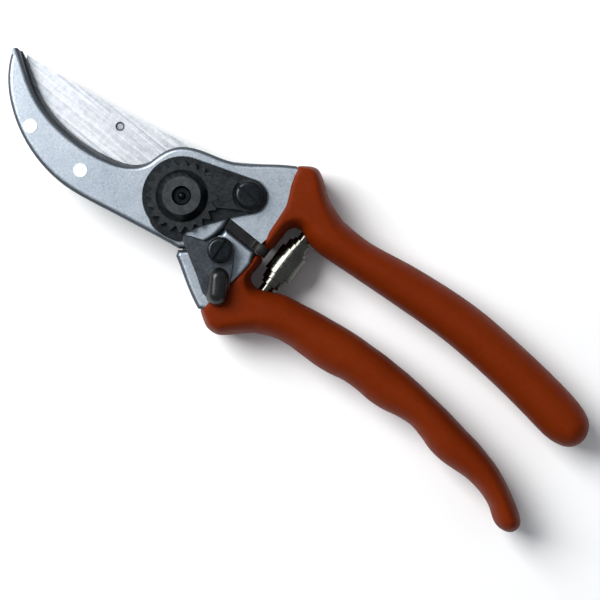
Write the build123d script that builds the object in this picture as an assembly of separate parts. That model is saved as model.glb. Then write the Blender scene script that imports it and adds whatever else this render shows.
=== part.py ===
from build123d import *

import os
from math import acos, atan2, cos, degrees, hypot, radians, sin

# Bypass pruning shears lying flat and closed. Millimetres.
# The pivot axis is Z through the origin, +X points to the tip of the jaw,
# and +Z is the side with the toothed nut.
# The shears rest on z = 0: the flat of the bolt head and the undersides of both grips.

# --- Layers along the pivot axis ---
BOLT_HEAD_TOP = 3.0
BLADE_BOTTOM = 9.0
BLADE_TOP = 12.1
SHEAR_GAP = 0.1
HOOK_BOTTOM = BLADE_TOP + SHEAR_GAP
HOOK_TOP = 18.7
ANVIL_TOP = HOOK_BOTTOM + 2.0
BLADE_HANDLE_TOP = 18.4
COATED_METAL_TOP = 16.5
PLATE_SEAT_DEPTH = 0.5
PLATE_TOP = 19.7
GEAR_TOP = 21.5
NUT_TOP = 24.2
CATCH_BOTTOM = 19.9
CATCH_TOP = 22.1
EDGE_ROUND = 1.5

# --- Pivot ---
BOLT_HEAD_RADIUS = 8.5
BOLT_SHANK_RADIUS = 4.5
BOLT_NECK_RADIUS = 4.0
BOLT_THREAD_RADIUS = 3.0
BOLT_END_RECESS = 1.6
BOLT_END_CHAMFER = 0.5
BOLT_END_NUB = 1.2
BOLT_HEAD_CHAMFER = 0.8
RUNNING_CLEARANCE = 0.05
HOOK_HEAD_RADIUS = 16.0
ANVIL_HEAD_RADIUS = 13.0
BLADE_HEAD_RADIUS = 13.2
STEP_RADIUS = 16.6
NECK_CLEAR_RADIUS = 17.6
DOWEL_RADIUS = 1.5
DOWEL_CIRCLE = 9.0
DOWEL_ANGLES = (80, 260)
DOWEL_DEPTH = 3.0
DOWEL_COVER = 0.6
HOOK_HEAD_MIDDLE = 160
HOOK_HEAD_END = 194.5
STEP_FROM = 124.0
STEP_MIDDLE = 150
STEP_TO = 182.8

# --- Jaw ---
EDGE_CENTRE = (32.0, -45.5)
EDGE_RADIUS = 54.3
BEVEL_WIDTH = 9.0
EDGE_LAND = 0.2
DIMPLE = (29.5, -4.8)
DIMPLE_RADIUS = 1.3
DIMPLE_DEPTH = 0.5
RIVETS = [(50.4, 12.7), (29.7, 13.6)]
RIVET_HEAD_RADIUS = 2.2
RIVET_SHANK_RADIUS = 1.7
RIVET_HEAD_DEPTH = 0.9
RIVET_PROUD = 0.15

# --- Lock plate ---
PLATE_RADIUS = 12.3
PLATE_END = (-16.4, -13.2)
PLATE_END_RADIUS = 5.3
PLATE_WAIST = [(-20.2, -9.5), (-17.3, -6.2), (-11.3, 1.9), (-9.9, 3.9)]
PLATE_SEAT_SCALE = 1.02

# --- Toothed nut and segment ---
TEETH = 20
TOOTH_TIP_RADIUS = 11.2
TOOTH_ROOT_RADIUS = 9.5
TOOTH_FLAT = 1.5
NUT_BASE_RADIUS = 8.0
NUT_FACE_RADIUS = 5.9
NUT_FLAT_HALF = 6.2
MESH_GAP = 0.15
SEGMENT_RECESS_RADIUS = 5.2
SEGMENT_TONGUE = 0.6
SEGMENT_SCREW = (-15.9, -13.3)
SEGMENT_SCREW_RADIUS = 4.4
SEGMENT_SCREW_TOP = 22.7
SEGMENT_SLOT_ANGLE = 3
SCREW_SHANK_RADIUS = 2.0
SCREW_BOTTOM = 14.0
SLOT_WIDTH = 0.9
SLOT_DEPTH = 1.2
SCREW_DOME = 1.2

# --- Thumb catch ---
CATCH_PIVOT = (-19.7, 5.6)
CATCH_SCREW_RADIUS = 4.0
CATCH_SCREW_TOP = 24.9
CATCH_SLOT_ANGLE = 95
CATCH_CHAMFER = 0.3
CATCH_BOSS_RADIUS = 4.6
CATCH_BOSS_ROOT = 2.0
WASHER_RADIUS = 3.6
WASHER_THICKNESS = 0.5
FACE_GAP = 0.05
PAD_CENTRE = (-26.1, 14.7)
PAD_LENGTH = 11.9
PAD_WIDTH = 6.6
PAD_ANGLE = 124.4
PAD_BOTTOM = 20.1
PAD_TOP = 25.4
PAD_ROUND = 1.4
LOCK_TOOTH_BOTTOM = 19.0

# --- Grips ---
GRIP_HEIGHT = 19.6
GRIP_BASE_HEIGHT = 9.0
GRIP_HEIGHT_PER_WIDTH = 0.78
GRIP_CORNER_SHARE = 0.46
GRIP_WALL = 1.8
SHOULDER_TOP = 19.7
SHOULDER_BOTTOM = 0.6
TANG_BOTTOM = 3.0

# --- Spring, its pegs and the rubber buffer between the handles ---
SPRING_START = (-37.6, -12.9)
SPRING_END = (-38.0, 4.8)
MID_HEIGHT = 10.0
SPRING_RADIUS = 5.25
SPRING_BORE = 2.4
SPRING_BELT = 8.5
STRIP_THICKNESS = 0.75
STRIP_PITCH = 1.0
PEG_RADIUS = 2.0
PEG_REACH = 4.0
PEG_ROOT = 7.0
BELT_MARGIN = 0.2
TURN_POINTS = 8
BUFFER_X = -28.9
BUFFER_RADIUS = 2.6
BUFFER_ROOT_Y = -9.0
HOOK_SIDE_Y = -4.0
BLADE_SIDE_Y = -0.8
BUFFER_GAP = 0.15

# --- Outlines in plan ---
HOOK_BACK = [
    (69.4, -1.6), (66.0, 4.6), (57.4, 12.7), (45.0, 18.6),
    (31.2, 20.4), (17.0, 18.2), (3.5, 15.5), (-9.0, 13.3),
]
TIP_MIDDLE = (69.3, -3.2)
HOOK_INSIDE = [
    (-21.5, -29.6), (-13.6, -24.0), (-4.5, -17.8), (4.0, -15.0), (10.9, -11.0), (13.9, -5.4), (15.2, -1.0),
    (18.2, 2.6), (25.5, 6.0), (36.0, 7.6), (46.2, 7.0), (55.3, 4.3), (63.5, -0.5), (68.3, -3.6),
]
HOOK_PLATE_END = [(-28.2, -4.0), (-29.2, -10.5), (-28.4, -18.4), (-25.4, -25.2), (-24.0, -29.0)]
HOOK_UNDER_COAT = [
    (-28.0, -5.8), (-30.6, -5.8), (-30.6, -17.0), (-34.8, -17.7), (-40.0, -15.7),
    (-40.0, -24.3), (-35.4, -26.3), (-30.4, -29.5), (-27.3, -31.1), (-23.0, -29.6),
]
NECK_STEP = [(-5.0, -18.0), (-14.0, -4.0)]
ANVIL_EDGE = [
    (67.9, -3.9), (63.7, -1.8), (55.3, 3.0), (46.2, 5.7), (36.0, 6.3), (24.9, 4.6), (18.0, 1.6), (15.0, -2.4),
]
ANVIL_BACK = [(6.0, 11.5), (17.0, 14.6), (31.2, 17.2), (44.0, 15.6), (55.5, 10.0), (63.5, 3.6), (68.2, -2.8)]

BLADE_TIP = (66.2, -4.0)
BLADE_BACK = [BLADE_TIP, (38.0, -8.0), (12.2, -13.2)]
BLADE_HEEL = [(12.2, -13.2), (10.4, -13.75), (8.7, -13.2)]
BLADE_ROOT = [(8.7, -13.2), (0.0, -11.0), (0.0, 9.0), (14.0, 9.5), (60.0, 9.5), BLADE_TIP]
BLADE_BODY_OUTSIDE = [(-25.6, 24.0), (-21.0, 21.9), (-16.9, 19.6), (-12.6, 17.0), (-10.0, 15.6)]
BLADE_PLATE_END = [(-28.2, -0.8), (-29.9, 3.0), (-29.8, 7.2), (-29.2, 15.0), (-28.2, 22.8)]
BLADE_UNDER_COAT = [
    (-28.2, 1.0), (-30.6, 1.0), (-30.6, 8.8), (-35.0, 10.3), (-41.5, 7.4),
    (-41.5, 18.0), (-36.8, 22.4), (-32.8, 24.7), (-28.2, 23.6),
]
LINK_ARM = [(-9.3, 9.5), (-10.0, 14.9), (-18.0, 19.6), (-22.0, 8.0), (-20.0, -0.8), (-13.0, -0.8)]

HOOK_COAT_EDGE = [(-28.2, -4.0), (-27.0, -10.0), (-26.2, -17.7), (-23.2, -24.3), (-21.5, -30.4)]
HOOK_SHOULDER_OUTSIDE = [
    (-21.5, -30.4), (-25.0, -32.9), (-27.4, -33.5), (-30.6, -31.9), (-36.0, -28.2), (-42.0, -26.2),
]
HOOK_SHOULDER_INSIDE = [(-42.0, -13.2), (-38.2, -13.8), (-34.6, -15.4), (-31.8, -13.6), (-31.8, -9.0)]
BLADE_COAT_EDGE = [(-28.4, -0.8), (-29.2, 3.0), (-28.9, 7.0), (-27.2, 14.5), (-26.0, 24.3)]
BLADE_SHOULDER_OUTSIDE = [
    (-26.0, 24.3), (-30.2, 26.8), (-32.6, 27.3), (-35.4, 26.8), (-38.0, 24.6), (-43.5, 19.4),
]
BLADE_SHOULDER_INSIDE = [(-43.5, 4.0), (-38.4, 6.4), (-34.9, 7.9), (-31.8, 6.2), (-31.8, 3.0)]

LOCK_LOBE = [
    (-8.3, 7.2), (-7.8, 9.0), (-8.3, 11.0), (-7.2, 11.9),
    (-5.4, 12.6), (-2.4, 13.15), (0.5, 13.1), (3.4, 11.82),
]
SEGMENT_OUTLINE = [
    (-1.2, -6.0), (-1.2, -10.3), (-4.5, -12.7), (-10.4, -14.3), (-16.0, -14.0), (-17.2, -8.3), (-10.5, -4.0),
]
CATCH_OUTLINE = [
    (-8.7, 10.4), (-8.0, 9.0), (-9.9, 7.8), (-14.6, 6.1), (-16.0, 3.1), (-18.6, 1.4), (-21.2, 1.4),
    (-23.4, 2.9),
    (-27.0, 8.6), (-29.4, 13.4), (-28.6, 17.4), (-26.2, 19.4), (-23.8, 19.3), (-18.7, 16.0), (-11.3, 11.9),
]
LOCK_TOOTH = [(-9.3, 10.7), (-10.6, 11.4), (-12.4, 10.2), (-11.4, 8.9)]

# One row for each section of a grip: place along X, inner side, outer side
HOOK_GRIP = [
    (-38.0, -13.9, -27.3),
    (-45.0, -13.1, -25.7),
    (-55.0, -14.0, -25.9),
    (-70.0, -15.3, -28.7),
    (-85.0, -16.4, -30.6),
    (-97.0, -16.6, -31.2),
    (-112.0, -15.8, -30.6),
    (-125.0, -14.5, -29.6),
    (-135.0, -13.3, -28.3),
    (-140.5, -13.6, -26.8),
    (-143.8, -15.4, -24.6),
    (-145.3, -17.6, -22.4),
]
BLADE_GRIP = [
    (-40.0, 5.6, 21.6),
    (-45.0, 3.6, 18.4),
    (-52.0, 2.1, 15.9),
    (-62.0, 0.3, 15.0),
    (-69.0, -0.7, 14.4),
    (-77.0, -1.2, 12.8),
    (-86.0, -1.4, 12.9),
    (-99.0, -0.8, 10.6),
    (-110.0, 0.3, 12.9),
    (-120.0, 1.7, 12.9),
    (-128.0, 3.3, 12.9),
    (-135.0, 5.8, 14.9),
    (-140.0, 8.2, 17.9),
    (-144.5, 11.0, 18.3),
    (-146.7, 13.4, 17.2),
]


def prism(outline, bottom, top):
    return Pos(0, 0, bottom) * extrude(outline, amount=top - bottom)


def disc(radius, bottom, top, centre=(0.0, 0.0)):
    return prism(Pos(*centre) * Circle(radius), bottom, top)


def closed_face(*curves):
    return make_face([edge for curve in curves for edge in curve.edges()])


def polygon(points):
    return make_face(Polyline(*points, close=True))


def polar(radius, angle):
    return (radius * cos(radians(angle)), radius * sin(radians(angle)))


def round_top(solid, radius):
    return fillet(solid.faces().sort_by(Axis.Z)[-1].edges(), radius)


# --- Pivot bolt, nut and adjuster ---

def centre_bolt():
    head = disc(BOLT_HEAD_RADIUS, 0, BOLT_HEAD_TOP)
    head = chamfer(head.faces().sort_by(Axis.Z)[0].edges(), BOLT_HEAD_CHAMFER)
    shank = disc(BOLT_SHANK_RADIUS, BOLT_HEAD_TOP, ANVIL_TOP)
    neck = disc(BOLT_NECK_RADIUS, ANVIL_TOP, PLATE_TOP)
    end = NUT_TOP - BOLT_END_RECESS
    thread = disc(BOLT_THREAD_RADIUS, PLATE_TOP, end)
    thread = chamfer(thread.faces().sort_by(Axis.Z)[-1].edges(), BOLT_END_CHAMFER)
    return head + shank + neck + thread + Pos(0, 0, end) * Sphere(BOLT_END_NUB)


def gear_outline(growth=0.0):
    points = []
    for tooth in range(TEETH):
        middle = 360 * tooth / TEETH
        half = 180 / TEETH
        points.append(polar(TOOTH_TIP_RADIUS + growth, middle - TOOTH_FLAT))
        points.append(polar(TOOTH_TIP_RADIUS + growth, middle + TOOTH_FLAT))
        points.append(polar(TOOTH_ROOT_RADIUS + growth, middle + half - TOOTH_FLAT))
        points.append(polar(TOOTH_ROOT_RADIUS + growth, middle + half + TOOTH_FLAT))
    return polygon(points)


def toothed_nut():
    gear = prism(gear_outline(), PLATE_TOP, GEAR_TOP)
    height = NUT_TOP - GEAR_TOP
    middle = Pos(0, 0, GEAR_TOP + height / 2)
    boss = middle * Cone(NUT_BASE_RADIUS, NUT_FACE_RADIUS, height)
    flats = middle * Box(4 * NUT_BASE_RADIUS, 2 * NUT_FLAT_HALF, height)
    return gear + (boss & flats) - disc(BOLT_THREAD_RADIUS, PLATE_TOP, NUT_TOP)


def plate_outline():
    """Teardrop round the pivot, small at the segment screw, with the lobe that the catch locks behind."""
    spread = hypot(*PLATE_END)
    line = degrees(atan2(PLATE_END[1], PLATE_END[0])) + 360
    rim_angle = line + degrees(acos((PLATE_RADIUS - PLATE_END_RADIUS) / spread))
    rim = polar(PLATE_RADIUS, rim_angle)
    end_x, end_y = polar(PLATE_END_RADIUS, rim_angle)
    end_start = (PLATE_END[0] + end_x, PLATE_END[1] + end_y)
    far_x, far_y = polar(PLATE_END_RADIUS, line)
    end_far = (PLATE_END[0] + far_x, PLATE_END[1] + far_y)
    return closed_face(
        ThreePointArc(LOCK_LOBE[-1], (PLATE_RADIUS, 0), rim),
        Line(rim, end_start),
        ThreePointArc(end_start, end_far, PLATE_WAIST[0]),
        Spline(*PLATE_WAIST),
        Line(PLATE_WAIST[-1], LOCK_LOBE[0]),
        Spline(*LOCK_LOBE),
    )


def lock_plate():
    plate = prism(plate_outline(), HOOK_TOP - PLATE_SEAT_DEPTH, PLATE_TOP)
    plate -= disc(BOLT_NECK_RADIUS, HOOK_BOTTOM, PLATE_TOP)
    return plate - disc(SCREW_SHANK_RADIUS, HOOK_BOTTOM, PLATE_TOP, SEGMENT_SCREW)


def toothed_segment():
    """The small quadrant whose teeth hold the nut where it is set, and its tongue under the screw head."""
    raised = prism(polygon(SEGMENT_OUTLINE), PLATE_TOP, GEAR_TOP)
    raised -= prism(gear_outline(MESH_GAP), PLATE_TOP, GEAR_TOP)
    raised -= disc(SEGMENT_RECESS_RADIUS, PLATE_TOP, GEAR_TOP, SEGMENT_SCREW)
    tongue = disc(SEGMENT_RECESS_RADIUS, PLATE_TOP, PLATE_TOP + SEGMENT_TONGUE, SEGMENT_SCREW)
    tongue &= prism(plate_outline(), PLATE_TOP, GEAR_TOP)
    return raised + tongue - disc(SCREW_SHANK_RADIUS, PLATE_TOP, GEAR_TOP, SEGMENT_SCREW)


def screw(centre, head_radius, head_bottom, head_top, slot_angle):
    """Slotted screw with a domed head."""
    head = round_top(disc(head_radius, head_bottom, head_top, centre), SCREW_DOME)
    shank = disc(SCREW_SHANK_RADIUS, SCREW_BOTTOM, head_bottom, centre)
    slot = Rot(0, 0, slot_angle) * Box(3 * head_radius, SLOT_WIDTH, 2 * SLOT_DEPTH)
    return head + shank - Pos(centre[0], centre[1], head_top) * slot


def segment_screw():
    bottom = PLATE_TOP + SEGMENT_TONGUE
    return screw(SEGMENT_SCREW, SEGMENT_SCREW_RADIUS, bottom, SEGMENT_SCREW_TOP, SEGMENT_SLOT_ANGLE)


# --- Hook side: forging, anvil blade and rivets ---

def hook_plate():
    """The jaw, the pivot head and the flat of the neck; the jaw edge is set back from the anvil blade."""
    head_end = polar(HOOK_HEAD_RADIUS, HOOK_HEAD_END)
    outline = closed_face(
        Spline(*HOOK_BACK),
        ThreePointArc(HOOK_BACK[-1], polar(HOOK_HEAD_RADIUS, HOOK_HEAD_MIDDLE), head_end),
        Polyline(head_end, *HOOK_PLATE_END, HOOK_INSIDE[0]),
        Spline(*HOOK_INSIDE),
        ThreePointArc(HOOK_INSIDE[-1], TIP_MIDDLE, HOOK_BACK[0]),
    )
    plate = prism(outline, HOOK_BOTTOM, HOOK_TOP)
    rim = plate.faces().sort_by(Axis.Z)[-1].edges().sort_by(SortBy.LENGTH)
    return fillet(rim[-3:], EDGE_ROUND)


def hook_neck():
    """Where the forging drops to full depth, clear of the turning blade head."""
    corner = (HOOK_UNDER_COAT[0][0], HOOK_SIDE_Y)
    inner = reversed(HOOK_INSIDE[:2])
    outline = polygon([NECK_STEP[0], *inner, *reversed(HOOK_UNDER_COAT), corner, NECK_STEP[1]])
    return prism(outline, TANG_BOTTOM, COATED_METAL_TOP) - disc(NECK_CLEAR_RADIUS, 0, HOOK_BOTTOM)


def anvil_outline():
    return closed_face(
        Spline(*ANVIL_EDGE),
        Line(ANVIL_EDGE[-1], ANVIL_BACK[0]),
        Spline(*ANVIL_BACK),
        Line(ANVIL_BACK[-1], ANVIL_EDGE[0]),
    )


def anvil_blank():
    return prism(anvil_outline(), HOOK_BOTTOM, ANVIL_TOP) + disc(ANVIL_HEAD_RADIUS, HOOK_BOTTOM, ANVIL_TOP)


def anvil_blade():
    blade = anvil_blank() - disc(BOLT_SHANK_RADIUS, 0, ANVIL_TOP)
    for rivet in rivet_solids():
        blade -= rivet
    return blade


def rivet_solids():
    rivets = []
    for place in RIVETS:
        shank = disc(RIVET_SHANK_RADIUS, HOOK_BOTTOM, HOOK_TOP, place)
        foot = disc(RIVET_HEAD_RADIUS, HOOK_BOTTOM, HOOK_BOTTOM + RIVET_HEAD_DEPTH, place)
        head = disc(RIVET_HEAD_RADIUS, HOOK_TOP - RIVET_HEAD_DEPTH, HOOK_TOP + RIVET_PROUD, place)
        rivets.append(shank + foot + head)
    return rivets


def hook_handle():
    handle = hook_plate() + hook_neck() + grip_loft(HOOK_GRIP[:-1], GRIP_WALL)
    handle -= anvil_blank()
    handle -= disc(BOLT_NECK_RADIUS, HOOK_BOTTOM, HOOK_TOP)
    handle -= prism(scale(plate_outline(), PLATE_SEAT_SCALE), HOOK_TOP - PLATE_SEAT_DEPTH, HOOK_TOP)
    handle -= segment_screw()
    for rivet in rivet_solids():
        handle -= rivet
    return handle - spring_peg_hook() - rubber_buffer()


# --- Blade side ---

def cutting_blade():
    """Flat on the hook's side, ground away on the other side towards the convex cutting edge."""
    body = closed_face(ThreePointArc(*BLADE_BACK), ThreePointArc(*BLADE_HEEL), Polyline(*BLADE_ROOT))
    slope = BLADE_TOP - BLADE_BOTTOM - EDGE_LAND
    ground = Pos(*EDGE_CENTRE, BLADE_BOTTOM + slope / 2) * Cone(EDGE_RADIUS - BEVEL_WIDTH, EDGE_RADIUS, slope)
    ground += disc(EDGE_RADIUS, BLADE_TOP - EDGE_LAND, BLADE_TOP, EDGE_CENTRE)
    blade = prism(body, BLADE_BOTTOM, BLADE_TOP) & ground
    blade += disc(BLADE_HEAD_RADIUS, BLADE_BOTTOM, BLADE_TOP)
    blade -= disc(BOLT_SHANK_RADIUS + RUNNING_CLEARANCE, BLADE_BOTTOM, BLADE_TOP)
    blade -= disc(DIMPLE_RADIUS, BLADE_TOP - DIMPLE_DEPTH, BLADE_TOP, DIMPLE)
    for dowel in dowel_solids():
        blade -= dowel
    return blade


def dowel_solids():
    bottom = BLADE_BOTTOM - DOWEL_DEPTH
    top = BLADE_TOP - DOWEL_COVER
    return [disc(DOWEL_RADIUS, bottom, top, polar(DOWEL_CIRCLE, angle)) for angle in DOWEL_ANGLES]


def blade_body():
    """The raised body outside the pivot step, its core under the coat and the arm to the pivot."""
    step_start = polar(STEP_RADIUS, STEP_TO)
    step_end = polar(STEP_RADIUS, STEP_FROM)
    outline = closed_face(
        Spline(*BLADE_BODY_OUTSIDE),
        Line(BLADE_BODY_OUTSIDE[-1], step_end),
        ThreePointArc(step_end, polar(STEP_RADIUS, STEP_MIDDLE), step_start),
        Polyline(step_start, *BLADE_PLATE_END, BLADE_BODY_OUTSIDE[0]),
    )
    raised = round_top(prism(outline, TANG_BOTTOM, BLADE_HANDLE_TOP), EDGE_ROUND)
    core = prism(polygon(BLADE_UNDER_COAT), TANG_BOTTOM, COATED_METAL_TOP)
    arm = prism(polygon(LINK_ARM), BOLT_HEAD_TOP, BLADE_BOTTOM)
    arm += disc(BLADE_HEAD_RADIUS, BOLT_HEAD_TOP, BLADE_BOTTOM)
    boss = disc(CATCH_BOSS_RADIUS, BLADE_HANDLE_TOP - CATCH_BOSS_ROOT, CATCH_BOTTOM - FACE_GAP, CATCH_PIVOT)
    boss -= disc(STEP_RADIUS, HOOK_BOTTOM, CATCH_TOP)
    return raised + core + arm + boss


def blade_handle():
    handle = blade_body() + grip_loft(BLADE_GRIP[:-1], GRIP_WALL)
    handle -= disc(BOLT_SHANK_RADIUS + RUNNING_CLEARANCE, 0, BLADE_BOTTOM)
    handle -= catch_screw()
    for dowel in dowel_solids():
        handle -= dowel
    return handle - spring_peg_blade()


# --- Thumb catch ---

def thumb_catch():
    plate = prism(polygon(CATCH_OUTLINE), CATCH_BOTTOM, CATCH_TOP)
    plate = chamfer(plate.faces().sort_by(Axis.Z)[-1].edges(), CATCH_CHAMFER)
    plate += prism(polygon(LOCK_TOOTH), LOCK_TOOTH_BOTTOM, CATCH_BOTTOM)
    return plate - disc(SCREW_SHANK_RADIUS + RUNNING_CLEARANCE, 0, CATCH_TOP, CATCH_PIVOT)


def catch_thumb_pad():
    """Moulded pad over the tail of the catch."""
    outline = Pos(*PAD_CENTRE) * Rot(0, 0, PAD_ANGLE) * SlotOverall(PAD_LENGTH, PAD_WIDTH)
    pad = round_top(prism(outline, PAD_BOTTOM, PAD_TOP), PAD_ROUND)
    return pad - thumb_catch()


def catch_screw():
    bottom = CATCH_TOP + WASHER_THICKNESS + 2 * FACE_GAP
    return screw(CATCH_PIVOT, CATCH_SCREW_RADIUS, bottom, CATCH_SCREW_TOP, CATCH_SLOT_ANGLE)


def catch_spring_washer():
    washer = disc(WASHER_RADIUS, CATCH_TOP + FACE_GAP, CATCH_TOP + FACE_GAP + WASHER_THICKNESS, CATCH_PIVOT)
    return washer - disc(SCREW_SHANK_RADIUS, CATCH_TOP, CATCH_SCREW_TOP, CATCH_PIVOT)


# --- Grips: each cover is a soft skin over the forging's tang ---

def grip_loft(rows, inset):
    sections = []
    for x, inner, outer in rows:
        width = abs(outer - inner)
        height = min(GRIP_HEIGHT, GRIP_BASE_HEIGHT + GRIP_HEIGHT_PER_WIDTH * width)
        inner_width = width - 2 * inset
        inner_height = height - 2 * inset
        corner = GRIP_CORNER_SHARE * min(inner_width, inner_height)
        plane = Plane(origin=(x, (inner + outer) / 2, GRIP_HEIGHT / 2), x_dir=(0, 1, 0), z_dir=(-1, 0, 0))
        sections.append(plane * RectangleRounded(inner_width, inner_height, corner))
    return loft(sections)


def hook_shoulder_outline():
    return closed_face(
        Spline(*HOOK_COAT_EDGE),
        Spline(*HOOK_SHOULDER_OUTSIDE),
        Line(HOOK_SHOULDER_OUTSIDE[-1], HOOK_SHOULDER_INSIDE[0]),
        Spline(*HOOK_SHOULDER_INSIDE),
        Polyline(HOOK_SHOULDER_INSIDE[-1], (HOOK_SHOULDER_INSIDE[-1][0], HOOK_SIDE_Y), HOOK_COAT_EDGE[0]),
    )


def blade_shoulder_outline():
    return closed_face(
        Spline(*BLADE_COAT_EDGE),
        Spline(*BLADE_SHOULDER_OUTSIDE),
        Line(BLADE_SHOULDER_OUTSIDE[-1], BLADE_SHOULDER_INSIDE[0]),
        Spline(*BLADE_SHOULDER_INSIDE),
        Polyline(BLADE_SHOULDER_INSIDE[-1], (BLADE_SHOULDER_INSIDE[-1][0], BLADE_SIDE_Y), BLADE_COAT_EDGE[0]),
    )


def grip_cover(rows, shoulder, handle):
    body = prism(shoulder, SHOULDER_BOTTOM, SHOULDER_TOP)
    return body + grip_loft(rows, 0) - handle


# --- Spring and what it pushes on ---

def spring_plane(place):
    direction = (SPRING_END[0] - SPRING_START[0], SPRING_END[1] - SPRING_START[1], 0)
    return Plane(origin=(place[0], place[1], MID_HEIGHT), x_dir=(0, 0, 1), z_dir=direction)


def spiral(first_radius, turns):
    """Points of a flat spiral that gains one pitch in radius each turn."""
    steps = round(turns * TURN_POINTS)
    share = [step / steps for step in range(steps + 1)]
    return [polar(first_radius + STRIP_PITCH * turns * at, 360 * turns * at) for at in share]


def volute_spring():
    """A strip coiled into a barrel: every turn is narrower than the one inside it."""
    length = hypot(SPRING_END[0] - SPRING_START[0], SPRING_END[1] - SPRING_START[1])
    turns = (SPRING_RADIUS - STRIP_THICKNESS - SPRING_BORE) / STRIP_PITCH
    inner = spiral(SPRING_BORE, turns)
    outer = spiral(SPRING_BORE + STRIP_THICKNESS, turns)
    strip = closed_face(Spline(*inner), Line(inner[-1], outer[-1]), Spline(*outer), Line(outer[0], inner[0]))
    coil = extrude(strip, amount=length)
    rim = SPRING_RADIUS + BELT_MARGIN
    end_radius = SPRING_BORE + STRIP_THICKNESS
    belt_low = (length - SPRING_BELT) / 2
    belt_high = (length + SPRING_BELT) / 2
    side = [(end_radius, 0), (rim, belt_low), (rim, belt_high), (end_radius, length)]
    profile = polygon([(0, 0), *side, (0, length)])
    barrel = revolve(Plane.XZ * profile, Axis.Z)
    return spring_plane(SPRING_START).location * (coil & barrel)


def spring_peg(place, forwards, backwards):
    circle = spring_plane(place) * Circle(PEG_RADIUS)
    return extrude(circle, amount=forwards) + extrude(circle, amount=-backwards)


def spring_peg_hook():
    return spring_peg(SPRING_START, PEG_REACH, PEG_ROOT)


def spring_peg_blade():
    return spring_peg(SPRING_END, PEG_ROOT, PEG_REACH)


def rubber_buffer():
    plane = Plane(origin=(BUFFER_X, BUFFER_ROOT_Y, MID_HEIGHT), x_dir=(1, 0, 0), z_dir=(0, 1, 0))
    return extrude(plane * Circle(BUFFER_RADIUS), amount=BLADE_SIDE_Y - BUFFER_GAP - BUFFER_ROOT_Y)


def main():
    hook = hook_handle()
    blade = blade_handle()
    hook_cover = grip_cover(HOOK_GRIP, hook_shoulder_outline(), hook) - spring_peg_hook() - rubber_buffer()
    blade_cover = grip_cover(BLADE_GRIP, blade_shoulder_outline(), blade) - spring_peg_blade()
    nodes = {
        "hook_handle": hook,
        "hook_grip_cover": hook_cover,
        "anvil_blade": anvil_blade(),
        "anvil_rivets": Compound(rivet_solids()),
        "cutting_blade": cutting_blade(),
        "blade_dowels": Compound(dowel_solids()),
        "blade_handle": blade,
        "blade_grip_cover": blade_cover,
        "centre_bolt": centre_bolt(),
        "toothed_nut": toothed_nut(),
        "lock_plate": lock_plate(),
        "toothed_segment": toothed_segment(),
        "segment_screw": segment_screw(),
        "thumb_catch": thumb_catch(),
        "catch_thumb_pad": catch_thumb_pad(),
        "catch_screw": catch_screw(),
        "catch_spring_washer": catch_spring_washer(),
        "volute_spring": volute_spring(),
        "spring_peg_hook": spring_peg_hook(),
        "spring_peg_blade": spring_peg_blade(),
        "rubber_buffer": rubber_buffer(),
    }
    os.makedirs("parts", exist_ok=True)
    for name, shape in nodes.items():
        export_step(shape, f"parts/{name}.step")


main()
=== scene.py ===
import math

import bmesh
import bpy
import numpy as np
from mathutils import Matrix, Vector
from mathutils.geometry import delaunay_2d_cdt


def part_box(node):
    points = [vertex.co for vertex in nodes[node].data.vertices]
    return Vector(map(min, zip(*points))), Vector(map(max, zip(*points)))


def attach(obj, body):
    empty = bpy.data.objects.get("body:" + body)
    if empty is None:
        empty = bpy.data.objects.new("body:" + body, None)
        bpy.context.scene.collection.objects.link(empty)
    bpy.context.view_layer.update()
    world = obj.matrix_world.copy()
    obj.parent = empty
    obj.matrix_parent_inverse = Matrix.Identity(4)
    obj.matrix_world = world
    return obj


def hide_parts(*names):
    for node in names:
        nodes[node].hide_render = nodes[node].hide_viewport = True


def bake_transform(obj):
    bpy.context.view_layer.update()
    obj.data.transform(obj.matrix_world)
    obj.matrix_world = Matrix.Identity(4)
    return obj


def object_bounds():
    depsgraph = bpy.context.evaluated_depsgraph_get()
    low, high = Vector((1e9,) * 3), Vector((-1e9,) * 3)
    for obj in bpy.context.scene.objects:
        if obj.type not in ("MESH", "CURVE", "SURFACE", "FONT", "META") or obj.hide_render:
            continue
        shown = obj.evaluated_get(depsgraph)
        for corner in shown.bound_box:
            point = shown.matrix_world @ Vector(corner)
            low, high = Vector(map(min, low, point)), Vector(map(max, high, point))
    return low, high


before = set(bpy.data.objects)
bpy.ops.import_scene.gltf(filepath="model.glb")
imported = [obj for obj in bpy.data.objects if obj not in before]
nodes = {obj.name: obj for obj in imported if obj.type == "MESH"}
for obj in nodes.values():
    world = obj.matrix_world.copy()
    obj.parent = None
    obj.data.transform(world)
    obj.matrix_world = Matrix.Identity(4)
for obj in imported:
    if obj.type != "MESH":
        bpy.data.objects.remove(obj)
cad_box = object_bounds()
MM = 0.001
# Centre, in millimetres, of the dimple whose shade is painted on the ground steel.
DIMPLE = (29.5, -4.8)


# ---------- materials ----------

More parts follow.
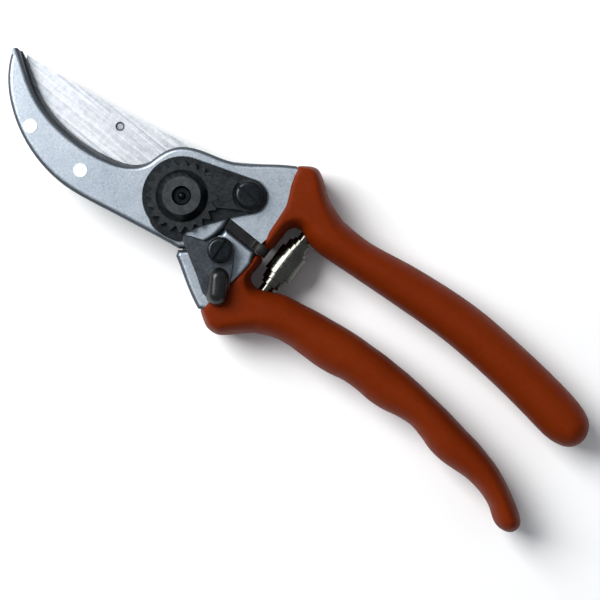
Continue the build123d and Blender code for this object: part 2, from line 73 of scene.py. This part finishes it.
class Nodes:
    """Short names for building a node material."""

    def __init__(self, name):
        self.material = bpy.data.materials.new(name)
        self.material.use_nodes = True
        self.tree = self.material.node_tree
        self.shader = self.tree.nodes["Principled BSDF"]
        self.place = self.tree.nodes.new("ShaderNodeTexCoord").outputs["Object"]

    def set(self, **values):
        for name, value in values.items():
            self.shader.inputs[name.replace("_", " ")].default_value = value

    def link(self, output, socket):
        self.tree.links.new(output, self.shader.inputs[socket])

    def mapped(self, scale, turn=0.0):
        node = self.tree.nodes.new("ShaderNodeMapping")
        node.inputs["Scale"].default_value = scale
        node.inputs["Rotation"].default_value = (0, 0, turn)
        self.tree.links.new(self.place, node.inputs["Vector"])
        return node.outputs["Vector"]

    def noise(self, scale, detail=4.0, rough=0.55, vector=None):
        node = self.tree.nodes.new("ShaderNodeTexNoise")
        node.inputs["Scale"].default_value = scale
        node.inputs["Detail"].default_value = detail
        node.inputs["Roughness"].default_value = rough
        self.tree.links.new(vector or self.place, node.inputs["Vector"])
        return node.outputs["Fac"]

    def ramp(self, factor, *stops):
        node = self.tree.nodes.new("ShaderNodeValToRGB")
        ramp = node.color_ramp
        while len(ramp.elements) < len(stops):
            ramp.elements.new(0.5)
        for element, (position, colour) in zip(ramp.elements, stops):
            element.position = position
            element.color = (*colour, 1) if len(colour) == 3 else colour
        self.tree.links.new(factor, node.inputs["Fac"])
        return node.outputs["Color"]

    def mix(self, factor, a, b, kind="MIX"):
        node = self.tree.nodes.new("ShaderNodeMix")
        node.data_type = "RGBA"
        node.blend_type = kind
        if isinstance(factor, float):
            node.inputs[0].default_value = factor
        else:
            self.tree.links.new(factor, node.inputs[0])
        self.tree.links.new(a, node.inputs[6])
        self.tree.links.new(b, node.inputs[7])
        return node.outputs[2]

    def distance_to(self, x, y):
        """Millimetres in plan from a point, divided by 20 so that a ramp can use it."""
        flat = self.tree.nodes.new("ShaderNodeVectorMath")
        flat.operation = "MULTIPLY"
        flat.inputs[1].default_value = (50, 50, 0)
        self.tree.links.new(self.place, flat.inputs[0])
        gap = self.tree.nodes.new("ShaderNodeVectorMath")
        gap.operation = "DISTANCE"
        gap.inputs[1].default_value = (x * 0.05, y * 0.05, 0)
        self.tree.links.new(flat.outputs[0], gap.inputs[0])
        return gap.outputs["Value"]

    def steepness(self):
        """How far a face turns up: 1 on flat tops, 0 on the sides."""
        shape = self.tree.nodes.new("ShaderNodeNewGeometry")
        split = self.tree.nodes.new("ShaderNodeSeparateXYZ")
        self.tree.links.new(shape.outputs["Normal"], split.inputs[0])
        return split.outputs["Z"]

    def bump(self, height, distance, strength=1.0, after=None):
        node = self.tree.nodes.new("ShaderNodeBump")
        node.inputs["Distance"].default_value = distance
        node.inputs["Strength"].default_value = strength
        self.tree.links.new(height, node.inputs["Height"])
        if after:
            self.tree.links.new(after, node.inputs["Normal"])
        self.link(node.outputs["Normal"], "Normal")
        return node.outputs["Normal"]


def forged_aluminium():
    n = Nodes("forged_aluminium")
    n.set(Metallic=0.9, Roughness=0.5)
    speckle = n.ramp(n.noise(1500, 3, 0.7), (0.36, (0.34, 0.38, 0.425)), (0.64, (0.45, 0.50, 0.555)))
    cloud = n.ramp(n.noise(55, 4), (0.35, (0.84, 0.86, 0.88)), (0.65, (1.0, 1.0, 1.0)))
    face = n.mix(1.0, speckle, cloud, "MULTIPLY")
    # painted shade: faces that turn away from straight up are darkened, most of all on the rounded edges
    edge_shade = n.ramp(
        n.steepness(),
        (0.55, (0.18, 0.19, 0.20)), (0.88, (0.34, 0.35, 0.36)), (0.985, (1.0, 1.0, 1.0)),
    )
    n.link(n.mix(1.0, face, edge_shade, "MULTIPLY"), "Base Color")
    n.link(n.ramp(n.noise(500, 4), (0.3, (0.40,) * 3), (0.7, (0.52,) * 3)), "Roughness")
    n.bump(n.noise(1100, 5, 0.65), 0.00005, 0.6)
    return n.material


def brushed_blade(name, turn, low, high):
    n = Nodes(name)
    n.set(Metallic=0.8, Roughness=0.34)
    along = n.mapped((22, 1300, 200), turn)
    streaks = n.mix(0.35, n.noise(1.0, 7, 0.75, along), n.noise(500, 5, 0.7))
    ground = n.ramp(streaks, (0.36, low), (0.60, high))
    # painted shade of a small dimple at DIMPLE: its floor darkened, and a darker ring where its sloping wall
    # would be
    dimple_shade = n.ramp(
        n.distance_to(*DIMPLE),
        (0.045, (0.55, 0.57, 0.6)), (0.050, (0.10, 0.11, 0.12)),
        (0.068, (0.14, 0.15, 0.16)), (0.078, (1.0, 1.0, 1.0)),
    )
    n.link(n.mix(1.0, ground, dimple_shade, "MULTIPLY"), "Base Color")
    n.link(n.ramp(streaks, (0.3, (0.34,) * 3), (0.7, (0.5,) * 3)), "Roughness")
    n.bump(streaks, 0.00006, 0.8)
    return n.material


def dark_steel(name, low, high, rough, metallic=0.6):
    n = Nodes(name)
    n.set(Metallic=metallic, Roughness=rough, Specular_IOR_Level=0.25)
    wear = n.mix(0.5, n.noise(220, 6, 0.65), n.noise(1500, 3, 0.6))
    n.link(n.ramp(wear, (0.35, low), (0.62, high)), "Base Color")
    n.link(n.ramp(n.noise(600, 4), (0.3, (rough - 0.07,) * 3), (0.7, (rough + 0.09,) * 3)), "Roughness")
    n.bump(n.noise(900, 5, 0.6), 0.00005, 0.5)
    return n.material


def nut_steel():
    """Black finish worn to grey on the nut's face, with painted shade in a ring round its central boss."""
    n = Nodes("nut_steel")
    n.set(Metallic=0.9, Specular_IOR_Level=0.25)
    speckle = n.mix(0.5, n.noise(220, 6, 0.65), n.noise(1500, 3, 0.6))
    wear = n.ramp(speckle, (0.35, (0.040, 0.045, 0.048)), (0.62, (0.074, 0.081, 0.084)))
    # painted shade: a dark ring from about 6 to 8 mm round the pivot stands for the shadow in the recess
    # round the boss; outside it the face is a little darker
    recess_ring_shade = n.ramp(
        n.distance_to(0, 0),
        (0.290, (1.0, 1.0, 1.0)), (0.300, (0.16, 0.17, 0.18)),
        (0.400, (0.16, 0.17, 0.18)), (0.415, (0.62, 0.63, 0.64)),
    )
    n.link(n.mix(1.0, wear, recess_ring_shade, "MULTIPLY"), "Base Color")
    n.link(n.ramp(n.noise(600, 4), (0.3, (0.3,) * 3), (0.7, (0.44,) * 3)), "Roughness")
    n.bump(n.noise(900, 5, 0.6), 0.00005, 0.5)
    return n.material


def grip_coat():
    n = Nodes("grip_coat")
    n.set(Metallic=0.0, Roughness=0.42, Specular_IOR_Level=0.05)
    broad = n.ramp(n.noise(40, 4, 0.6), (0.3, (0.138, 0.0150, 0.0010)), (0.7, (0.170, 0.0205, 0.0018)))
    fine = n.ramp(n.noise(900, 4, 0.6), (0.3, (0.9, 0.88, 0.86)), (0.7, (1.0, 1.0, 1.0)))
    n.link(n.mix(1.0, broad, fine, "MULTIPLY"), "Base Color")
    n.link(n.ramp(n.noise(260, 5), (0.3, (0.38,) * 3), (0.7, (0.54,) * 3)), "Roughness")
    ripple = n.bump(n.noise(90, 3), 0.00015, 0.5)
    n.bump(n.noise(1600, 4, 0.6), 0.00003, 0.6, ripple)
    return n.material


def moulded(name, low, high, rough):
    n = Nodes(name)
    n.set(Metallic=0.0, Roughness=rough, Specular_IOR_Level=0.4)
    n.link(n.ramp(n.noise(400, 5), (0.3, low), (0.7, high)), "Base Color")
    n.link(n.ramp(n.noise(700, 3), (0.3, (rough - 0.06,) * 3), (0.7, (rough + 0.08,) * 3)), "Roughness")
    n.bump(n.noise(1300, 4), 0.00004, 0.6)
    return n.material


ALUMINIUM = forged_aluminium()
BLADE = brushed_blade("ground_blade", math.radians(-8), (0.34, 0.37, 0.42), (0.68, 0.70, 0.73))
# painted shade: the anvil gets a much darker copy of the blade's ground steel, standing for its bevel turned
# away from the light
SHADED_ANVIL = brushed_blade("anvil_steel_painted_shade", 0.0, (0.05, 0.055, 0.062), (0.11, 0.12, 0.13))
DARK = dark_steel("black_steel", (0.006, 0.008, 0.010), (0.016, 0.019, 0.022), 0.38, 0.9)
NUT = nut_steel()
PLATE = dark_steel("plate_steel", (0.010, 0.012, 0.014), (0.030, 0.034, 0.037), 0.42, 0.9)
SCREW = dark_steel("screw_steel", (0.012, 0.015, 0.018), (0.030, 0.034, 0.038), 0.3, 0.9)
GEAR = dark_steel("segment_steel", (0.016, 0.019, 0.021), (0.042, 0.047, 0.050), 0.4, 0.9)
CATCH = dark_steel("grey_steel", (0.045, 0.052, 0.062), (0.085, 0.095, 0.112), 0.36, 0.9)
BRIGHT = dark_steel("bright_steel", (0.80, 0.82, 0.85), (0.95, 0.96, 0.97), 0.32, 0.5)
SPRING = dark_steel("spring_steel", (0.075, 0.075, 0.065), (0.13, 0.13, 0.115), 0.17, 1.0)
COAT = grip_coat()
PLASTIC = moulded("pad_plastic", (0.003, 0.004, 0.004), (0.007, 0.008, 0.008), 0.3)
RUBBER = moulded("buffer_rubber", (0.006, 0.006, 0.005), (0.014, 0.014, 0.012), 0.6)

CAD_MATERIALS = {
    "hook_handle": ALUMINIUM, "blade_handle": ALUMINIUM, "cutting_blade": BLADE, "anvil_blade": SHADED_ANVIL,
    "anvil_rivets": BRIGHT, "blade_dowels": BRIGHT, "centre_bolt": DARK, "toothed_nut": NUT,
    "lock_plate": PLATE, "toothed_segment": GEAR, "segment_screw": SCREW, "thumb_catch": CATCH,
    "catch_thumb_pad": PLASTIC, "catch_screw": SCREW, "catch_spring_washer": BRIGHT,
    "spring_peg_hook": SPRING, "spring_peg_blade": SPRING, "rubber_buffer": RUBBER,
    "hook_grip_cover": COAT, "blade_grip_cover": COAT, "volute_spring": SPRING,
}
ROUNDED = {
    "toothed_nut": 0.12, "toothed_segment": 0.12, "lock_plate": 0.2, "thumb_catch": 0.15, "centre_bolt": 0.15,
    "anvil_blade": 0.2, "catch_screw": 0.1, "segment_screw": 0.1,
}
for name, material in CAD_MATERIALS.items():
    node = nodes[name]
    node.data.materials.clear()
    node.data.materials.append(material)
    if name in ROUNDED:
        bevel = node.modifiers.new("rounded", "BEVEL")
        bevel.width = ROUNDED[name] * MM
        bevel.segments = 2
        bevel.limit_method = "ANGLE"
        bevel.angle_limit = math.radians(40)


# ---------- grips: a dipped coat, swollen from its outline in plan ----------

GRIP_LOW = -0.05
GRIP_HIGH = 19.65


def catmull(points, per=8):
    """A smooth open line through the points."""
    p = np.array(points, float)
    p = np.vstack([2 * p[0] - p[1], p, 2 * p[-1] - p[-2]])
    line = []
    for i in range(1, len(p) - 2):
        for t in np.arange(per) / per:
            a, b, c, d = p[i - 1:i + 3]
            square = (2 * a - 5 * b + 4 * c - d) * t**2
            cube = (3 * b - a - 3 * c + d) * t**3
            line.append(0.5 * (2 * b + (c - a) * t + square + cube))
    line.append(p[-2])
    return np.array(line)


def resample(loop, step):
    """Even points round a closed loop; each row is x, y and the radius of its edge."""
    closed = np.vstack([loop, loop[:1]])
    along = np.r_[0, np.cumsum(np.linalg.norm(np.diff(closed[:, :2], axis=0), axis=1))]
    at = np.linspace(0, along[-1], int(along[-1] / step), endpoint=False)
    return np.stack([np.interp(at, along, closed[:, k]) for k in range(3)], axis=1)


def edge_distance(points, loop):
    """For each point: its distance to the loop, the edge radius near it, and whether it is inside."""
    a, b = loop[:, :2], np.roll(loop[:, :2], -1, axis=0)
    ab = b - a
    ap = points[:, None, :] - a[None]
    t = np.clip((ap * ab).sum(2) / np.maximum((ab * ab).sum(1), 1e-12), 0, 1)
    gap = np.linalg.norm(ap - t[..., None] * ab, axis=2)
    weight = 1 / (gap**4 + 0.02)
    radius = (weight * loop[:, 2]).sum(1) / weight.sum(1)
    x, y = points[:, :1], points[:, 1:]
    crosses = (a[:, 1] > y) != (b[:, 1] > y)
    slope = np.where(np.abs(ab[:, 1]) < 1e-9, 1e-9, ab[:, 1])
    inside = (crosses & (x < a[:, 0] + (y - a[:, 1]) * ab[:, 0] / slope)).sum(1) % 2 == 1
    return gap.min(1), radius, inside


def swollen(name, loop, low=GRIP_LOW, high=GRIP_HIGH, flat_below=False, step=0.6):
    """A closed skin over an outline in plan: full height in the middle, rounded off at the edge."""
    loop = resample(loop, step)
    for _ in range(6):
        loop[:, 2] = (np.roll(loop[:, 2], 1) + loop[:, 2] + np.roll(loop[:, 2], -1)) / 3
    tangent = np.roll(loop[:, :2], -1, axis=0) - np.roll(loop[:, :2], 1, axis=0)
    tangent /= np.linalg.norm(tangent, axis=1)[:, None]
    area = (loop[:, 0] * np.roll(loop[:, 1], -1) - np.roll(loop[:, 0], -1) * loop[:, 1]).sum()
    inward = np.stack([-tangent[:, 1], tangent[:, 0]], axis=1) * (1 if area > 0 else -1)
    near = [loop[:, :2] + inward * step for step in (0.06, 0.2, 0.45)]
    first, last = loop[:, :2].min(0), loop[:, :2].max(0)
    spread = np.meshgrid(np.arange(first[0], last[0], 1.15 * step), np.arange(first[1], last[1], 1.15 * step))
    grid = np.stack(spread, axis=-1).reshape(-1, 2)
    kept = []
    for points, least in ((near[0], 0.05), (near[1], 0.17), (near[2], 0.4), (grid, 0.7)):
        gap, _, inside = edge_distance(points, loop)
        kept.append(points[inside & (gap > least)])
    inner = np.vstack(kept)
    count = len(loop)
    plan = [Vector(p) for p in np.vstack([loop[:, :2], inner])]
    ring = [(i, (i + 1) % count) for i in range(count)]
    verts, _, faces, *_ = delaunay_2d_cdt(plan, ring, [list(range(count))], 1, 1e-5)
    verts = np.array([tuple(v) for v in verts])
    gap, radius, _ = edge_distance(verts, loop)
    share = np.sqrt(np.clip(1 - np.clip(1 - gap / radius, 0, 1) ** 2, 0, 1))
    middle = low if flat_below else (low + high) / 2
    upper = middle + (high - middle) * share
    lower = middle - (middle - low) * share
    mesh = bmesh.new()
    sides = [
        [mesh.verts.new((x * MM, y * MM, z * MM)) for (x, y), z in zip(verts, level)]
        for level in (upper, lower)
    ]
    for face in faces:
        mesh.faces.new([sides[0][i] for i in face])
        mesh.faces.new([sides[1][i] for i in reversed(face)])
    bmesh.ops.remove_doubles(mesh, verts=mesh.verts, dist=1e-7)
    bmesh.ops.recalc_face_normals(mesh, faces=mesh.faces)
    data = bpy.data.meshes.new(name)
    mesh.to_mesh(data)
    mesh.free()
    piece = bpy.data.objects.new(name, data)
    bpy.context.scene.collection.objects.link(piece)
    remesh = piece.modifiers.new("even", "REMESH")
    remesh.mode = "VOXEL"
    remesh.voxel_size = step * 0.83 * MM
    remesh.use_smooth_shade = True
    smooth = piece.modifiers.new("soft", "SMOOTH")
    smooth.factor = 0.5
    smooth.iterations = 8
    return piece


def with_radius(points, radius):
    radii = np.full(len(points), radius) if np.isscalar(radius) else np.asarray(radius)
    return np.column_stack([points, radii])


# Each row of a grip is its x, then the y of its inner and outer side.
HOOK_GRIP = [
    (-42.0, -13.1, -26.2), (-45.0, -13.1, -25.7), (-55.0, -14.0, -25.9), (-70.0, -15.3, -28.7),
    (-85.0, -16.4, -30.6), (-97.0, -16.6, -31.2), (-112.0, -15.8, -30.6), (-125.0, -14.5, -29.6),
    (-135.0, -13.3, -28.3), (-140.5, -13.9, -26.8),
]
HOOK_END = [(-143.6, -15.6), (-145.2, -18.4), (-145.2, -21.6), (-143.6, -24.8)]
BLADE_GRIP = [
    (-43.5, 4.0, 19.5), (-45.0, 3.5, 18.5), (-50.0, 2.5, 16.2), (-55.0, 1.4, 15.3), (-60.0, 0.6, 15.1),
    (-65.0, -0.2, 14.9), (-70.0, -0.8, 14.2), (-75.0, -1.1, 13.0), (-80.0, -1.4, 12.7), (-85.0, -1.4, 12.9),
    (-90.0, -1.4, 12.4), (-95.0, -1.1, 11.2), (-100.0, -0.7, 10.6), (-105.0, -0.3, 11.5), (-110.0, 0.3, 12.9),
    (-115.0, 1.0, 13.3), (-120.0, 1.6, 12.9), (-125.0, 2.6, 12.6), (-130.0, 3.9, 13.2), (-135.0, 5.9, 14.8),
]
BLADE_END = [(-141.0, 8.9), (-145.2, 11.6), (-146.7, 14.0), (-145.9, 16.9), (-143.0, 18.2), (-139.6, 17.7)]


PER_STRETCH = 6
GRIP_START = 42
ROUNDED_AT = [22, 27, 33, GRIP_START, 60, 200]
ROUNDED_BY = [1.2, 2.8, 3.6, 5.4, 7.4, 7.4]
COAT_EDGE_RADIUS = 0.9
SPRING_WALL_X = -33.2
SPRING_WALL_Y = -2.4
SPRING_WALL_HALF = 12
SPRING_WALL_RADIUS = 2.8


def grip_loop(rows, end, coat_edge, outside, inside):
    """A cover's outline: the coat's edge, its outer side, round the end and back up the inner side."""
    outer_side = [(x, out) for x, _, out in rows[1:]]
    inner_side = [(x, inn) for x, inn, _ in reversed(rows[1:])]
    outer = catmull([*outside, *outer_side, *reversed(end), *inner_side, *inside], PER_STRETCH)
    edge = catmull(coat_edge, PER_STRETCH)
    widths = [abs(out - inn) for _, inn, out in rows]
    radius = np.interp(-outer[:, 0], ROUNDED_AT, ROUNDED_BY)
    local = np.interp(-outer[:, 0], [-r[0] for r in rows], [w / 2 for w in widths])
    radius = np.where(outer[:, 0] < -GRIP_START, np.minimum(radius, local), radius)
    wall = (outer[:, 0] > SPRING_WALL_X) & (np.abs(outer[:, 1] - SPRING_WALL_Y) < SPRING_WALL_HALF)
    radius = np.where(wall, SPRING_WALL_RADIUS, radius)
    return np.vstack([with_radius(edge[:-1], COAT_EDGE_RADIUS), with_radius(outer, radius)])


hook_loop = grip_loop(
    HOOK_GRIP, HOOK_END,
    [(-28.2, -4.0), (-27.0, -10.0), (-26.2, -17.7), (-23.2, -24.3), (-21.5, -30.2)],
    [(-21.5, -30.2), (-25.0, -32.8), (-27.4, -33.4), (-30.6, -31.9), (-36.0, -28.3), (-42.0, -26.2)],
    [
        (-42.0, -13.2), (-38.2, -13.8), (-34.6, -15.2), (-32.0, -13.4), (-31.8, -9.0),
        (-31.4, -4.2), (-28.2, -4.0),
    ],
)
blade_loop = grip_loop(
    BLADE_GRIP, BLADE_END,
    [(-28.4, -0.8), (-29.2, 3.0), (-28.9, 7.0), (-27.2, 14.5), (-26.0, 24.1)],
    [(-26.0, 24.1), (-30.2, 26.7), (-32.6, 27.2), (-35.4, 26.7), (-38.0, 24.6), (-43.5, 19.4)],
    [(-43.5, 4.0), (-38.4, 6.4), (-34.9, 7.7), (-32.0, 6.2), (-31.8, 3.0), (-31.4, -0.7), (-28.4, -0.8)],
)
for name, loop, body, cad in (
    ("hook_grip_coat", hook_loop, "hook_side", "hook_grip_cover"),
    ("blade_grip_coat", blade_loop, "blade_side", "blade_grip_cover"),
):
    coat = swollen(name, loop)
    coat.data.materials.append(COAT)
    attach(coat, body)
    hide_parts(cad)


# ---------- thumb pad: a domed stadium over the tail of the catch ----------

PAD_CENTRE = (-26.1, 14.7)
PAD_LENGTH = 12.3
PAD_WIDTH = 7.1
PAD_TURN = math.radians(124.4)
PAD_ROUNDING = 3.1


def pad_loop(centre, length, width, turn):
    half, rim = length / 2 - width / 2, width / 2
    angles = np.linspace(-math.pi / 2, math.pi / 2, 16)
    round_end = [(half + rim * math.cos(a), rim * math.sin(a)) for a in angles]
    points = round_end + [(-x, -y) for x, y in round_end]
    c, s = math.cos(turn), math.sin(turn)
    return np.array([(centre[0] + x * c - y * s, centre[1] + x * s + y * c) for x, y in points])


pad_low, pad_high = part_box("catch_thumb_pad")
stadium = with_radius(pad_loop(PAD_CENTRE, PAD_LENGTH, PAD_WIDTH, PAD_TURN), PAD_ROUNDING)
pad = swollen("thumb_pad_dome", stadium, pad_low.z / MM, pad_high.z / MM, flat_below=True, step=0.3)
pad.data.materials.append(PLASTIC)
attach(pad, "catch_lever")
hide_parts("catch_thumb_pad")


# ---------- volute spring ----------

def volute():
    """A strip wound outwards into a barrel: long inner turns over the pegs, a short outer belt."""
    low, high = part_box("volute_spring")
    start = Vector((-0.0376, -0.0129, (low.z + high.z) / 2))
    end = Vector((-0.0380, 0.0048, (low.z + high.z) / 2))
    axis = (end - start).normalized()
    side = axis.cross(Vector((0, 0, 1))).normalized()
    up = side.cross(axis)
    middle = (start + end) / 2
    turns, per_turn = 3, 64
    bore, rim, thick = 2.6 * MM, 5.1 * MM, 0.45 * MM
    # Half the strip's width, in millimetres, at these turns counted from the bore.
    reach = ((0.0, 8.75), (0.9, 8.4), (2.0, 4.6), (3.0, 4.4))
    mesh = bmesh.new()
    previous = None
    for i in range(turns * per_turn + 1):
        turn = i / per_turn
        for (t0, w0), (t1, w1) in zip(reach, reach[1:]):
            if t0 <= turn <= t1:
                half = (w0 + (w1 - w0) * (turn - t0) / (t1 - t0)) * MM
        outside = bore + (rim - bore) * turn / turns
        inside = outside - thick
        angle = turn * math.tau - math.pi / 2
        out = side * math.cos(angle) + up * math.sin(angle)
        ring = []
        for r, w in ((inside, -half), (outside, -half), (outside, half), (inside, half)):
            ring.append(mesh.verts.new(middle + axis * w + out * r))
        if previous:
            for a in range(4):
                b = (a + 1) % 4
                mesh.faces.new((previous[a], previous[b], ring[b], ring[a]))
        else:
            mesh.faces.new(ring)
        previous = ring
    mesh.faces.new(list(reversed(previous)))
    bmesh.ops.recalc_face_normals(mesh, faces=mesh.faces)
    data = bpy.data.meshes.new("spring_coil")
    mesh.to_mesh(data)
    mesh.free()
    piece = bpy.data.objects.new("spring_coil", data)
    bpy.context.scene.collection.objects.link(piece)
    bevel = piece.modifiers.new("rounded", "BEVEL")
    bevel.width = 0.12 * MM
    bevel.segments = 2
    bevel.limit_method = "ANGLE"
    data.materials.append(SPRING)
    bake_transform(piece)
    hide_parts("volute_spring")


volute()


# ---------- floor, light and camera ----------

def floor():
    mesh = bmesh.new()
    bmesh.ops.create_grid(mesh, x_segments=2, y_segments=2, size=3.0)
    data = bpy.data.meshes.new("floor")
    mesh.to_mesh(data)
    mesh.free()
    plane = bpy.data.objects.new("floor", data)
    plane.location = (0, 0, cad_box[0][2] - 0.0004)
    bpy.context.scene.collection.objects.link(plane)
    n = Nodes("pale_floor")
    n.set(Roughness=0.9)
    n.link(n.ramp(n.noise(6, 2), (0.3, (0.93, 0.93, 0.93)), (0.7, (0.96, 0.96, 0.96))), "Base Color")
    data.materials.append(n.material)


def area_light(name, place, aim, size, energy):
    light = bpy.data.lights.new(name, "AREA")
    light.shape = "RECTANGLE"
    light.size, light.size_y = size
    light.energy = energy
    lamp = bpy.data.objects.new(name, light)
    lamp.location = place
    lamp.rotation_euler = (Vector(aim) - Vector(place)).to_track_quat("-Z", "Y").to_euler()
    bpy.context.scene.collection.objects.link(lamp)


CAMERA_TURN = math.radians(39.0)
CAMERA_HEIGHT = 0.62
CAMERA_ABOVE = (-0.0485, 0.002)
FACE_HEIGHT = 0.015
VIEW_WIDTH = 0.187
SENSOR = 36


def camera():
    """Straight above, turned so that the jaw points up and to the left."""
    up = Vector((math.sin(CAMERA_TURN), -math.cos(CAMERA_TURN), 0))
    right = Vector((-math.cos(CAMERA_TURN), -math.sin(CAMERA_TURN), 0))
    back = right.cross(up)
    data = bpy.data.cameras.new("camera")
    data.sensor_width = SENSOR
    data.lens = SENSOR * CAMERA_HEIGHT / VIEW_WIDTH
    eye = bpy.data.objects.new("camera", data)
    rotation = Matrix((right, up, back)).transposed().to_4x4()
    eye.matrix_world = Matrix.Translation((*CAMERA_ABOVE, CAMERA_HEIGHT + FACE_HEIGHT)) @ rotation
    bpy.context.scene.collection.objects.link(eye)
    bpy.context.scene.camera = eye


floor()
centre = Vector((-0.04, 0.0, 0.0))
area_light("window", (0.72, 0.06, 0.80), centre, (0.7, 0.7), 17)
world = bpy.data.worlds.new("studio")
bpy.context.scene.world = world
world.use_nodes = True
world.node_tree.nodes["Background"].inputs["Color"].default_value = (0.9, 0.95, 1.0, 1)
world.node_tree.nodes["Background"].inputs["Strength"].default_value = 0.34
bpy.context.scene.view_settings.view_transform = "Standard"
camera()
